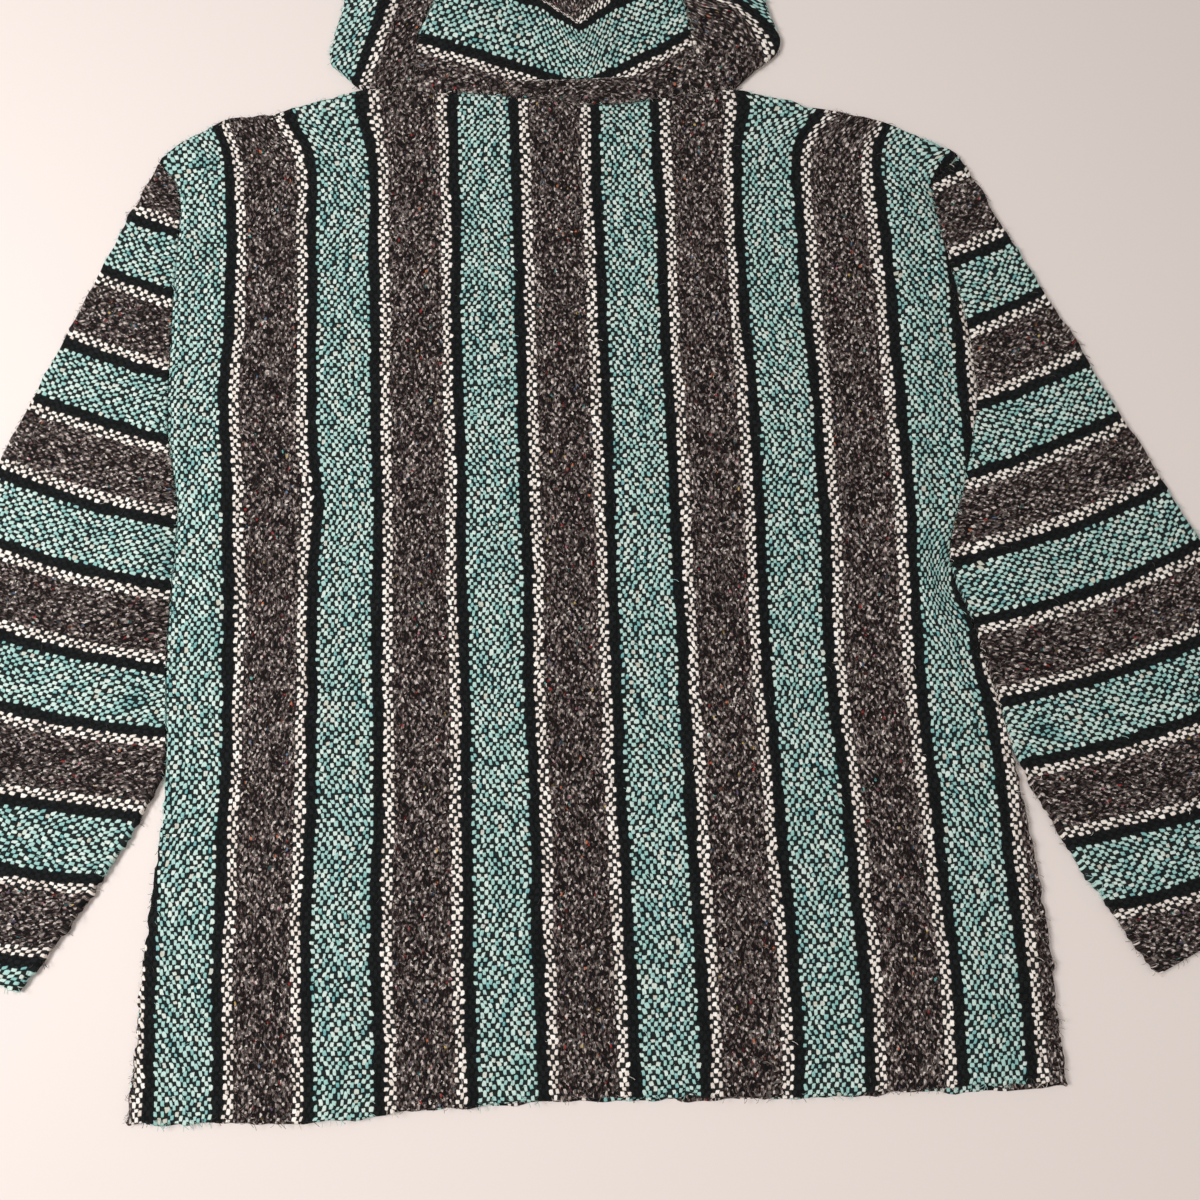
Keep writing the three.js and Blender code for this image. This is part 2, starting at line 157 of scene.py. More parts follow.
def handwoven_cloth():
    """Gives the eye matt, slightly fuzzy floats of teal, white and flecked brown on black."""
    material = bpy.data.materials.new("handwoven_striped_cloth")
    material.use_nodes = True
    tree = material.node_tree
    shader = tree.nodes["Principled BSDF"]
    shader.inputs["Roughness"].default_value = 0.92
    shader.inputs["Specular IOR Level"].default_value = 0.1
    shader.inputs["Sheen Weight"].default_value = 0.02
    shader.inputs["Sheen Roughness"].default_value = 0.5
    math_node = "ShaderNodeMath"
    vector_math = "ShaderNodeVectorMath"

    # The yarns wander a little, in slow waves and in short ones
    uv = add(tree, "ShaderNodeUVMap", uv_map="cloth")
    slow = add(tree, "ShaderNodeTexNoise", {"Vector": uv, "Scale": 16.0, "Detail": 1.0}).node
    short = add(tree, "ShaderNodeTexNoise", {"Vector": uv, "Scale": 110.0, "Detail": 1.0}).node
    yarn_at = uv
    for noise, reach in ((slow, 0.0042), (short, 0.0032)):
        even = add(tree, vector_math, (noise.outputs["Color"], (0.5, 0.5, 0.5)), operation="SUBTRACT")
        step = add(tree, vector_math, {0: even, "Scale": reach}, operation="SCALE")
        yarn_at = add(tree, vector_math, (yarn_at, step), operation="ADD")
    across = add(tree, "ShaderNodeSeparateXYZ", (yarn_at,))
    along = across.node.outputs["Y"]

    # End and pick numbers, then the lattice of floats, which lie on every second crossing
    end = add(tree, math_node, (across, 1000 / end_pitch, loose - 0.5), operation="MULTIPLY_ADD")
    pick = add(tree, math_node, (along, 1000 / pick_pitch), operation="MULTIPLY")
    both = add(tree, math_node, (end, pick), operation="ADD")
    apart = add(tree, math_node, (end, pick), operation="SUBTRACT")
    lattice_x = add(tree, math_node, (both, 0.5), operation="MULTIPLY")
    lattice_y = add(tree, math_node, (apart, 0.5), operation="MULTIPLY")
    lattice = add(tree, "ShaderNodeCombineXYZ", (lattice_x, lattice_y))
    cells = add(
        tree,
        "ShaderNodeTexVoronoi",
        {"Vector": lattice, "Scale": 1.0, "Randomness": loose},
        voronoi_dimensions="2D",
    ).node
    chance = add(tree, "ShaderNodeSeparateColor", (cells.outputs["Color"],)).node
    centre = add(tree, "ShaderNodeSeparateXYZ", (cells.outputs["Position"],))
    centre_y = centre.node.outputs["Y"]
    centre_end = add(tree, math_node, (centre, centre_y), operation="ADD")
    centre_pick = add(tree, math_node, (centre, centre_y), operation="SUBTRACT")
    from_end = add(tree, math_node, (end, centre_end), operation="SUBTRACT")
    from_pick = add(tree, math_node, (pick, centre_pick), operation="SUBTRACT")

    # Which stripe the float's end belongs to, as the distance from the middle of the teal
    even_end = add(tree, math_node, (centre_end, loose), operation="SUBTRACT")
    number = add(tree, math_node, (even_end,), operation="ROUND")
    in_repeat = add(tree, math_node, (number, float(repeat_ends)), operation="FLOORED_MODULO")
    off_teal = add(tree, math_node, (in_repeat, repeat_ends / 2 - 0.5), operation="SUBTRACT")
    stripe = add(tree, math_node, (off_teal,), operation="ABSOLUTE")
    past_teal = add(tree, math_node, (stripe, teal_reach), operation="GREATER_THAN")
    past_black = add(tree, math_node, (stripe, black_reach), operation="GREATER_THAN")
    past_white = add(tree, math_node, (stripe, white_reach), operation="GREATER_THAN")

    # Each yarn is thicker and paler in places
    slow_pick = add(tree, math_node, (pick, 0.13), operation="MULTIPLY")
    slub_at = add(tree, "ShaderNodeCombineXYZ", (number, slow_pick))
    slub = add(
        tree,
        "ShaderNodeTexNoise",
        {"Vector": slub_at, "Scale": 0.9, "Detail": 2.0},
        noise_dimensions="2D",
    )
    fibre_at = add(tree, vector_math, (yarn_at, (1500.0, 420.0, 1.0)), operation="MULTIPLY")
    fibres = add(
        tree,
        "ShaderNodeTexNoise",
        {"Vector": fibre_at, "Scale": 1.0, "Detail": 2.0},
        noise_dimensions="2D",
    )

    # A float is a slanting oval, fatter where the yarn is thick
    lean = add(tree, math_node, (slow.outputs["Fac"], 0.9, -0.67), operation="MULTIPLY_ADD")
    slant = add(tree, math_node, (chance.outputs["Blue"], 0.44, lean), operation="MULTIPLY_ADD")
    leaning = add(tree, math_node, (slant, from_pick, from_end), operation="MULTIPLY_ADD")
    thick = add(tree, math_node, (slub, 0.44, 0.275), operation="MULTIPLY_ADD")
    thin_brown = add(tree, math_node, (past_white, -0.12, 1.0), operation="MULTIPLY_ADD")
    half_width = add(tree, math_node, (thick, thin_brown), operation="MULTIPLY")
    half_length = add(tree, math_node, (chance.outputs["Green"], 0.24, 0.4), operation="MULTIPLY_ADD")
    part_width = add(tree, math_node, (leaning, half_width), operation="DIVIDE")
    part_length = add(tree, math_node, (from_pick, half_length), operation="DIVIDE")
    rounding = []
    for side_part in (part_width, part_length):
        size = add(tree, math_node, (side_part,), operation="ABSOLUTE")
        rounding.append(add(tree, math_node, (size, 6.0), operation="POWER"))
    outward = add(tree, math_node, tuple(rounding), operation="ADD")
    fraying = add(tree, math_node, (past_white, 2.4, 2.6), operation="MULTIPLY_ADD")
    off_even = add(tree, math_node, (fibres, 0.5), operation="SUBTRACT")
    frayed = add(tree, math_node, (off_even, fraying), operation="MULTIPLY")
    edge = add(tree, math_node, (outward, frayed), operation="ADD")
    on_float = add(tree, "ShaderNodeMapRange", {"Value": edge, "From Min": 1.5, "From Max": 0.8})
    dome = add(tree, "ShaderNodeMapRange", {"Value": edge, "From Min": 1.5, "From Max": 0.0})

    # The brown yarn is spun from many short mixed fibres, so it is speckled finer than its floats
    speckle_at = add(tree, vector_math, (yarn_at, (760.0, 520.0, 1.0)), operation="MULTIPLY")
    speckles = add(
        tree,
        "ShaderNodeTexVoronoi",
        {"Vector": speckle_at, "Scale": 1.0},
        voronoi_dimensions="2D",
    ).node
    speckle = add(tree, "ShaderNodeSeparateColor", (speckles.outputs["Color"],)).node

    # Colours of the floats, with a few bright flecks in the brown
    tone_part = add(tree, math_node, (slub, 1.1, -0.3), operation="MULTIPLY_ADD")
    tone = add(tree, math_node, (chance.outputs["Red"], 0.55, tone_part), operation="MULTIPLY_ADD")
    teal = ramp(
        tree,
        tone,
        [(0.0, "#6CA6A7"), (0.3, "#93BFB9"), (0.55, "#B2D1C9"), (0.8, "#CFDFD7"), (1.0, "#BFC0B2")],
    )
    white = ramp(tree, tone, [(0.1, "#CFC2B8"), (0.45, "#E5DBD2"), (0.9, "#F5EEE6")])
    black = ramp(tree, tone, [(0.0, "#111213"), (1.0, "#1C1E1F")])
    brown_part = add(tree, math_node, (speckle.outputs["Red"], 1.3, -1.31), operation="MULTIPLY_ADD")
    brown_part = add(tree, math_node, (tone, 0.42, brown_part), operation="MULTIPLY_ADD")
    brown_tone = add(tree, math_node, (fibres, 1.6, brown_part), operation="MULTIPLY_ADD")
    brown = ramp(
        tree,
        brown_tone,
        [(0.05, "#1C1210"), (0.3, "#453734"), (0.52, "#73635E"), (0.76, "#A3948E"), (1.0, "#DDD1C9")],
    )
    fleck = ramp(
        tree,
        speckle.outputs["Green"],
        [(0.0, "#8E3530"), (0.3, "#B4694A"), (0.42, "#B59A5C"), (0.5, "#A06C74"),
         (0.66, "#5B7088"), (0.76, "#5E5068"), (0.84, "#5F9C99"), (0.92, "#D2C6BC")],
        "CONSTANT",
    )
    is_fleck = add(tree, math_node, (speckle.outputs["Blue"], 0.988), operation="GREATER_THAN")
    flecked = add(tree, "ShaderNodeMix", {0: is_fleck, 6: brown, 7: fleck}, data_type="RGBA").node.outputs[2]
    colour = teal
    for past, outer in ((past_teal, black), (past_black, white), (past_white, flecked)):
        mixed = add(tree, "ShaderNodeMix", {0: past, 6: colour, 7: outer}, data_type="RGBA").node
        colour = mixed.outputs[2]

    # Painted shade: floats are painted darker towards their ends, where they dive under the crosswise yarn,
    # and black shows between them
    shade = add(tree, math_node, (dome, 0.3, 0.76), operation="MULTIPLY_ADD")
    fuzz = add(tree, math_node, (fibres, 0.35, 0.83), operation="MULTIPLY_ADD")
    # Painted shade of the float ends, times the fibres' own random brightness
    shade_and_fibre_tone = add(tree, math_node, (shade, fuzz), operation="MULTIPLY")
    shaded = add(tree, vector_math, {0: colour, "Scale": shade_and_fibre_tone}, operation="SCALE")
    # The black crosswise yarn between the floats, painted darker than the black floats as shade in the gaps,
    # then tinted towards the stripe's colour: a little in teal, white and black, as painted bounce light, and
    # more in brown
    shaded_gap_black = ramp(tree, fibres, [(0.2, "#060708"), (0.8, "#131415")])
    share = add(tree, math_node, (past_white, 0.14, 0.02), operation="MULTIPLY_ADD")
    between = add(tree, "ShaderNodeMix", {0: share, 6: shaded_gap_black, 7: colour}, data_type="RGBA").node.outputs[2]
    final = add(tree, "ShaderNodeMix", {0: on_float, 6: between, 7: shaded}, data_type="RGBA").node.outputs[2]
    tree.links.new(final, shader.inputs["Base Color"])

    bulge = add(tree, math_node, (dome, 0.55), operation="POWER")
    low_black = add(tree, math_node, (past_teal, past_black), operation="SUBTRACT")
    black_height = add(tree, math_node, (low_black, -0.45, 1.0), operation="MULTIPLY_ADD")
    bulged = add(tree, math_node, (bulge, black_height), operation="MULTIPLY")
    height = add(tree, math_node, (fibres, 0.18, bulged), operation="MULTIPLY_ADD")
    relief = add(tree, "ShaderNodeBump", {"Height": height, "Strength": 0.9, "Distance": 0.0009})
    tree.links.new(relief, shader.inputs["Normal"])
    return material


cloth_material = handwoven_cloth()

# Back panel. One length of the handwoven cloth with the stripes from the shoulders to the hem,
# sewn to the sleeves at its upper sides and to the hood at the neck. It lies in soft waves.
wall = 2.4  # thick handwoven cloth
seam = 0.4  # gap between two pieces that are sewn together
seam_reach = 5.5  # how far a sewn edge is rounded
under_share = 0.9  # an edge is a little less rounded on its lower face
neck_seam = 0.8
slack = 0.4  # gap between two layers that lie on each other
upper = wall + slack
fold_radius = (2 * wall + slack) / 2
mid_x = 1.5
neck_y = 187.0
body_width = 590.0
body_length = 690.0
brown_middle = 3.6  # how far the middle brown stripe lies to the left of the midline

body_sides = {
    "down": [35, 53, 76, 131, 190, 240, 300, 355, 406, 481, 564, 706],
    "left": [-297, -283, -280, -283, -285, -285, -277, -280, -282, -281, -289, -302],
    "right": [294, 294, 273, 279, 289, 290, 276, 260, 273, 289, 299, 305],
}
back_top = {
    "x": [-297, -276, -250, -201, -146, -120, -96, -58, -20, 10, 40, 70, 90, 131, 185, 248, 294],
    "down": [35, 18, 5, -3, -17, -16, -13, -10, -5, -1, 2.5, 0, -3, -6, 9, 28, 53],
}
hem_edge = {
    "x": [-302, -240, -180, -74, 20, 137, 206, 255, 305],
    "down": [702, 704, 706, 699, 699, 703, 701, 699, 702],
    "peep": [1, 0, 0, 1, 2, 2, 3, 6, 2],
}
# The cloth's main waves and creases, each as a soft ridge, or as a trough where it is negative
back_folds = {
    "x": [258, 228, -246, 248, 240, -250, -196, -58, 118, -176, 252, -4],
    "down": [88, 128, 66, 230, 372, 330, 430, 300, 470, 668, 660, 24],
    "length": [110, 120, 120, 180, 170, 190, 330, 420, 360, 120, 130, 190],
    "width": [17, 20, 18, 22, 19, 22, 26, 40, 34, 34, 28, 16],
    "height": [4.6, 2.6, 4.2, 3.2, 5.0, 3.8, 2.8, 1.8, 2.2, 2.6, 2.8, 2.4],
    "turn": [-52, -40, 48, -4, 7, -4, 4, 2, -3, 2, -4, 90],
}
back_creases = {
    "x": [236, 214, -222, -262, 262, 214, -228, -120, 40, 176, -20, -90, 84, 196, -262, 150],
    "down": [104, 158, 92, 118, 300, 410, 372, 120, 150, 250, 520, 610, 610, 560, 560, 60],
    "length": [100, 90, 100, 90, 110, 150, 130, 180, 170, 160, 240, 150, 160, 150, 160, 90],
    "width": [7, 8, 7, 8, 9, 9, 9, 14, 13, 12, 15, 12, 13, 11, 12, 9],
    "height": [-3.4, -2.4, -3.2, 2.0, -2.8, -2.6, -2.4, 1.2, -1.2, -1.4, 1.3, -1.4, 1.3, -1.3, -1.6, -1.8],
    "turn": [-50, -36, 50, 30, 12, 16, -14, 6, -5, -8, 4, -6, 5, -10, 8, -70],
}
arm_ridge = {"from_seam": 7.5, "width": 4.2, "height": 1.5}  # beside the sleeve seams
# How far the stripes stray sideways from straight lines
stripe_drift = {
    "x": [-215, -296, 215, 200, -239, -179, -239, -180, 160, 180, 200, 0, 262, 276, 272, 288],
    "down": [-8, 36, 8, 75, 225, 300, 400, 600, 160, 420, 640, 450, 372, 425, 76, 48],
    "wide": [75, 20, 70, 60, 40, 40, 60, 90, 60, 80, 120, 60, 17, 24, 16, 18],
    "tall": [33, 28, 24, 45, 50, 30, 110, 60, 60, 70, 60, 150, 26, 34, 10, 11],
    "shift": [-20, -8, 22, -3.5, -3.5, 4, 3, -3.3, -3, -4.5, 3.4, -1, -17, -8, -5, 12],
}


def lerp(start, end, part):
    return start + (end - start) * part


def smoothstep(value, low, high):
    part = np.clip((value - low) / (high - low), 0, 1)
    return part * part * (3 - 2 * part)


def read(table, key, value, at):
    """Reads a table's column at places between its rows, on a smooth curve through them."""
    keys = np.array(table[key], float)
    values = np.array(table[value], float)
    slopes = np.gradient(values)
    slopes[1:-1] = (values[2:] - values[:-2]) / (keys[2:] - keys[:-2])
    slopes[0] = (values[1] - values[0]) / (keys[1] - keys[0])
    slopes[-1] = (values[-1] - values[-2]) / (keys[-1] - keys[-2])
    at = np.clip(at, keys[0], keys[-1])
    row = np.clip(np.searchsorted(keys, at, side="right") - 1, 0, len(keys) - 2)
    span = keys[row + 1] - keys[row]
    t = (at - keys[row]) / span
    start = values[row] * (2 * t**3 - 3 * t**2 + 1)
    end = values[row + 1] * (3 * t**2 - 2 * t**3)
    return start + end + span * (slopes[row] * (t**3 - 2 * t**2 + t) + slopes[row + 1] * (t**3 - t**2))


def fold_height(folds, x, down):
    """Height that a table of folds gives the cloth at a place on the flat."""
    height = np.zeros(np.broadcast(x, down).shape)
    for k in range(len(folds["x"])):
        angle = math.radians(folds["turn"][k])
        off_x = x - folds["x"][k]
        off_down = down - folds["down"][k]
        along = off_down * math.cos(angle) + off_x * math.sin(angle)
        across = off_x * math.cos(angle) - off_down * math.sin(angle)
        reach = np.clip(1 - (2 * along / folds["length"][k]) ** 2, 0, 1)
        height = height + folds["height"][k] * reach * np.exp(-((across / folds["width"][k]) ** 2))
    return height


def ripple(x, down):
    """Small unevenness of a thick soft cloth, up to 0.7 mm."""
    broad = np.sin(x / 31 + down / 140 + 0.7) * np.sin(down / 47 + x / 90 + 1.9)
    close = np.sin(x / 13 + down / 60 + 0.4) * np.cos(down / 21 - x / 55)
    return 0.45 * broad + 0.25 * close


def edge_sink(distance, reach=wall):
    """How far a face of the cloth rounds off towards a cut or sewn edge."""
    part = np.clip(1 - distance / reach, 0, 1)
    return wall / 2 * (1 - np.sqrt(1 - part**2 * 0.98))


def near_outline(distance):
    """Is 1 at a cut or sewn edge and falls to 0 within a few millimetres of it."""
    return np.exp(-distance / 1.2)


def spread(count, length):
    """Places from 0 to 1, even but with extra ones close to both ends for the rounded edge."""
    near = np.array([0, 0.5, 1.2, 2.2]) / length
    middle = np.linspace(near[-1], 1 - near[-1], count)
    return np.concatenate([near[:-1], middle, 1 - near[-2::-1]])


def ragged(count, seed, reach=1.3):
    """Small uneven steps along an edge, where single floats stand out."""
    steps = np.random.default_rng(seed).normal(0, 1, count + 2)
    return reach * (0.5 * steps[1:-1] + 0.25 * steps[:-2] + 0.25 * steps[2:])


def place(x, down, z):
    """Points of the flat cloth in the shared frame, as one array."""
    x, down, z = np.broadcast_arrays(x, down, z)
    return np.stack([mid_x + x, neck_y - down, z], axis=-1)


def make_cloth(name, upper_face, lower_face, stripes, near_edge, tube=False):
    """Makes a closed shell from two grids of points, with the stripe coordinates as its UV map.

    near_edge is 1 at the outline and falls to 0, and says where loose fibres stand close.
    """
    columns, rows = upper_face.shape[:2]
    wide = columns if tube else columns - 1
    points = np.concatenate([upper_face.reshape(-1, 3), lower_face.reshape(-1, 3)]) / 1000
    i, j = (grid.ravel() for grid in np.meshgrid(np.arange(wide), np.arange(rows - 1), indexing="ij"))
    line = np.arange(wide)
    last = np.full(wide, rows - 1)
    patches = [
        [(i, j, 0), (i, j + 1, 0), (i + 1, j + 1, 0), (i + 1, j, 0)],
        [(i, j, 1), (i + 1, j, 1), (i + 1, j + 1, 1), (i, j + 1, 1)],
        [(line, 0 * line, 0), (line + 1, 0 * line, 0), (line + 1, 0 * line, 1), (line, 0 * line, 1)],
        [(line, last, 0), (line, last, 1), (line + 1, last, 1), (line + 1, last, 0)],
    ]
    if not tube:
        rise = np.arange(rows - 1)
        start = 0 * rise
        end = start + wide
        patches.append([(start, rise, 0), (start, rise, 1), (start, rise + 1, 1), (start, rise + 1, 0)])
        patches.append([(end, rise, 0), (end, rise + 1, 0), (end, rise + 1, 1), (end, rise, 1)])
    faces = []
    corners = []
    for patch in patches:
        faces.append(np.stack([(c % columns) * rows + r + f * columns * rows for c, r, f in patch], axis=1))
        corners.append(np.stack([stripes[c, r] for c, r, _ in patch], axis=1))
    faces = np.concatenate(faces)
    corners = np.concatenate(corners) / 1000
    a, b, c, d = (points[faces[:, k]] for k in range(4))
    volume = (a * np.cross(b, c)).sum() + (a * np.cross(c, d)).sum()
    if volume < 0:
        faces = faces[:, ::-1]
        corners = corners[:, ::-1]
    mesh = bpy.data.meshes.new(name)
    mesh.from_pydata(points.tolist(), [], faces.tolist())
    layer = mesh.uv_layers.new(name="cloth")
    layer.data.foreach_set("uv", np.ascontiguousarray(corners, dtype=np.float32).ravel())
    mesh.polygons.foreach_set("use_smooth", np.ones(len(faces), dtype=bool))
    fringe = mesh.attributes.new("fringe", "FLOAT", "POINT")
    fringe.data.foreach_set("value", np.tile(np.broadcast_to(near_edge, (columns, rows)).ravel(), 2))
    mesh.materials.append(cloth_material)
    mesh.update()
    piece = bpy.data.objects.new(name, mesh)
    scene.collection.objects.link(piece)
    return piece


def body_grid(upper_edge, lower_edge, columns, rows):
    """Places of a body panel on the flat, and how far each lies from the panel's edges."""
    across = spread(columns, body_width)[:, None]
    part = spread(rows, body_length)[None, :]
    top_x = lerp(back_top["x"][0], back_top["x"][-1], across)
    hem_x = lerp(hem_edge["x"][0], hem_edge["x"][-1], across)
    top = upper_edge(top_x)
    down = lerp(top, lower_edge(hem_x), part)

    def width_at(level):
        left = read(body_sides, "down", "left", level)
        return lerp(left, read(body_sides, "down", "right", level), across)

    x = width_at(down) + (top_x - width_at(top)) * (1 - part) ** 2
    from_side = np.minimum(across, 1 - across) * body_width + 0 * part
    from_top = down - top
    from_hem = lower_edge(hem_x) - down
    return x, down, from_side, from_top, from_hem


def top_edge(x):
    return read(back_top, "x", "down", x)


def back_hem(x):
    return read(hem_edge, "x", "down", x)


def body_stripes(x, down):
    """Stripe coordinates of the body: u across the stripes from a brown middle, v along them."""
    across = x + brown_middle
    for k in range(len(stripe_drift["x"])):
        off_x = (x - stripe_drift["x"][k]) / stripe_drift["wide"][k]
        off_down = (down - stripe_drift["down"][k]) / stripe_drift["tall"][k]
        across = across - stripe_drift["shift"][k] * np.exp(-(off_x**2) - off_down**2)
    return np.stack(np.broadcast_arrays(across, down), axis=-1)


full_turn = 6.283


def fibre_tree():
    """Geometry nodes that scatter short loose fibres over a cloth."""
    tree = bpy.data.node_groups.new("loose_fibres", "GeometryNodeTree")
    sockets = [
        ("Cloth", "Geometry"), ("Density", "Float"), ("At Edge", "Float"),
        ("Seed", "Int"), ("Shortest", "Float"), ("Longest", "Float"),
    ]
    for name, kind in sockets:
        tree.interface.new_socket(name, in_out="INPUT", socket_type="NodeSocket" + kind)
    tree.interface.new_socket("Fibres", in_out="OUTPUT", socket_type="NodeSocketGeometry")
    given = add(tree, "NodeGroupInput").node.outputs
    fringe = add(tree, "GeometryNodeInputNamedAttribute", {"Name": "fringe"}, data_type="FLOAT")
    math_node = "ShaderNodeMath"
    thickness = (fringe, given["At Edge"], given["Density"])
    thick_edge = add(tree, math_node, thickness, operation="MULTIPLY_ADD")

    # Only faces that look up or sideways, clear of the floor, carry fibres that show
    normal = add(tree, "ShaderNodeSeparateXYZ", (add(tree, "GeometryNodeInputNormal"),)).node
    height = add(tree, "ShaderNodeSeparateXYZ", (add(tree, "GeometryNodeInputPosition"),)).node
    lowest_tilt = -0.2
    lowest_place = 0.0022
    looks_up = add(tree, math_node, (normal.outputs["Z"], lowest_tilt), operation="GREATER_THAN")
    off_floor = add(tree, math_node, (height.outputs["Z"], lowest_place), operation="GREATER_THAN")
    open_face = add(tree, math_node, (looks_up, off_floor), operation="MULTIPLY")
    scatter = add(
        tree,
        "GeometryNodeDistributePointsOnFaces",
        {"Mesh": given["Cloth"], "Selection": open_face, "Density": thick_edge, "Seed": given["Seed"]},
        distribute_method="RANDOM",
    ).node
    outward = add(tree, "ShaderNodeVectorMath", (scatter.outputs["Normal"], (0, 0, 0.8)), operation="ADD")
    stands = add(tree, "FunctionNodeAlignRotationToVector", {"Vector": outward}, axis="Z")
    bow = add(
        tree,
        "GeometryNodeCurveQuadraticBezier",
        {"Resolution": 3, "Start": (0, 0, 0), "Middle": (0.5, 0.15, 0.35), "End": (0.9, -0.1, 0.42)},
    )
    tip = add(tree, "GeometryNodeCurvePrimitiveCircle", {"Resolution": 3, "Radius": 0.045}, mode="RADIUS")
    hair = add(tree, "GeometryNodeCurveToMesh", {"Curve": bow, "Profile Curve": tip, "Fill Caps": True})
    angle = add(
        tree,
        "FunctionNodeRandomValue",
        {"Max": full_turn, "Seed": given["Seed"]},
        data_type="FLOAT",
    ).node
    spin = add(
        tree,
        "FunctionNodeAxisAngleToRotation",
        {"Axis": (0, 0, 1), "Angle": angle.outputs["Value"]},
    )
    turned = add(
        tree,
        "FunctionNodeRotateRotation",
        {"Rotation": stands, "Rotate By": spin},
        rotation_space="LOCAL",
    )
    length = add(
        tree,
        "FunctionNodeRandomValue",
        {"Min": given["Shortest"], "Max": given["Longest"], "Seed": given["Seed"]},
        data_type="FLOAT",
    ).node.outputs["Value"]
    placed = add(
        tree,
        "GeometryNodeInstanceOnPoints",
        {"Points": scatter.outputs["Points"], "Instance": hair, "Rotation": turned, "Scale": length},
    )
    real = add(tree, "GeometryNodeRealizeInstances", {"Geometry": placed})
    dressed = add(tree, "GeometryNodeSetMaterial", {"Geometry": real, "Material": fibre_material})
    add(tree, "NodeGroupOutput", {"Fibres": dressed})
    return tree


def wool_fibre():
    """Gives the eye dull fine hairs in the colour of the stripe that they stand on."""
    material = bpy.data.materials.new("loose_wool_fibre")
    material.use_nodes = True
    tree = material.node_tree
    shader = tree.nodes["Principled BSDF"]
    shader.inputs["Roughness"].default_value = 0.85
    shader.inputs["Specular IOR Level"].default_value = 0.1
    spot = add(tree, "ShaderNodeAttribute", attribute_name="cloth").node.outputs["Vector"]
    across = add(tree, "ShaderNodeSeparateXYZ", (spot,))
    end = add(tree, "ShaderNodeMath", (across, 1000 / end_pitch, -0.5), operation="MULTIPLY_ADD")
    in_repeat = add(tree, "ShaderNodeMath", (end, float(repeat_ends)), operation="FLOORED_MODULO")
    half_repeat = repeat_ends / 2
    off_teal = add(tree, "ShaderNodeMath", (in_repeat, half_repeat - 0.5), operation="SUBTRACT")
    stripe = add(tree, "ShaderNodeMath", (off_teal,), operation="ABSOLUTE")
    part = add(tree, "ShaderNodeMath", (stripe, half_repeat), operation="DIVIDE")
    stops = [
        (0.0, "#A9CFC8"),
        (teal_reach / half_repeat, "#4A4744"),
        (black_reach / half_repeat, "#DCD2C8"),
        (white_reach / half_repeat, "#8F857F"),
    ]
    tree.links.new(ramp(tree, part, stops, "CONSTANT"), shader.inputs["Base Color"])
    return material


fibre_material = wool_fibre()
fibres_group = fibre_tree()


def loose_fibres(cloth, seed, density=2600.0):
    """Short fibres that stand off a piece of cloth, as a closed mesh of its own."""
    holder = bpy.data.objects.new("fibres_" + cloth.name, cloth.data)
    scene.collection.objects.link(holder)
    nodes = holder.modifiers.new("fibres", "NODES")
    nodes.node_group = fibres_group
    values = {"Density": density, "At Edge": 300000.0, "Seed": seed, "Shortest": 0.0018, "Longest": 0.0045}
    for socket in fibres_group.interface.items_tree:
        if socket.in_out == "INPUT" and socket.name in values:
            nodes[socket.identifier] = values[socket.name]
    view = bpy.context.evaluated_depsgraph_get()
    mesh = bpy.data.meshes.new_from_object(holder.evaluated_get(view), depsgraph=view)
    holder.modifiers.clear()
    holder.data = mesh
    return holder


def ragged_outline(x, down, from_side, from_top, from_hem, seed):
    """The places of a panel with its free edges made uneven."""
    columns, rows = x.shape
    wave = 0.4 * np.sin(x / 9.1 + seed)
    at_hem = np.exp(-from_hem / 3) * (wave + ragged(columns, seed)[:, None])
    on_shoulder = smoothstep(np.abs(x + 8), 140, 152)
    at_top = np.exp(-from_top / 3) * on_shoulder * ragged(columns, seed + 1)[:, None]
    below_arm = smoothstep(down, 480, 500)
    at_side = np.exp(-from_side / 3) * below_arm * (ragged(rows, seed + 2)[None, :] - 0.3)
    return x + np.sign(x) * at_side, down + at_hem - at_top


x, down, from_side, from_top, from_hem = body_grid(top_edge, back_hem, columns=150, rows=226)
fade = smoothstep(from_side, 0, 26) * smoothstep(from_top, -4, 26)
lift = fold_height(back_folds, x, down) * fade
crease_fade = smoothstep(from_side, 2, 14) * smoothstep(from_top, 2, 14) * smoothstep(from_hem, 0, 16)
beside_arm = np.exp(-(((from_side - arm_ridge["from_seam"]) / arm_ridge["width"]) ** 2))
beside_arm = beside_arm * smoothstep(down, 40, 70) * (1 - smoothstep(down, 330, 400))
lift = np.maximum(lift + (fold_height(back_creases, x, down) + ripple(x, down)) * crease_fade, 0)
lift = lift + arm_ridge["height"] * beside_arm
sink = np.maximum(edge_sink(from_hem), edge_sink(np.minimum(from_side, from_top), seam_reach))
out_shown, down_shown = ragged_outline(x, down, from_side, from_top, from_hem, 5)
back = make_cloth(
    "back_panel_cloth",
    place(out_shown, down_shown, upper + wall + lift - sink),
    place(out_shown, down_shown, upper + lift + under_share * sink),
    body_stripes(x, down),
    near_outline(np.minimum(np.minimum(from_side, from_top), from_hem)),
)
back_fibres = loose_fibres(back, 11)
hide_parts("back_panel")
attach(back, "root")
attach(back_fibres, "root")

# Front panel. The same length of cloth under the back, joined to it at the shoulders and the
# sides, with a plain V neck. Only its hem shows, a few millimetres below the back's.
neck_left = (-146.0, -17.0)
neck_right = (131.0, -6.0)
neck_point = (2.0, 128.0)
front_shift = 27.0  # the front's stripes don't meet the back's at the hem


def front_top(x):
    left = lerp(neck_left[1], neck_point[1], (x - neck_left[0]) / (neck_point[0] - neck_left[0]))
    right = lerp(neck_right[1], neck_point[1], (x - neck_right[0]) / (neck_point[0] - neck_right[0]))
    in_neck = (x > neck_left[0]) & (x < neck_right[0])
    return np.where(in_neck, np.where(x < neck_point[0], left, right), top_edge(x))


def front_hem(x):
    return back_hem(x) + read(hem_edge, "x", "peep", x)


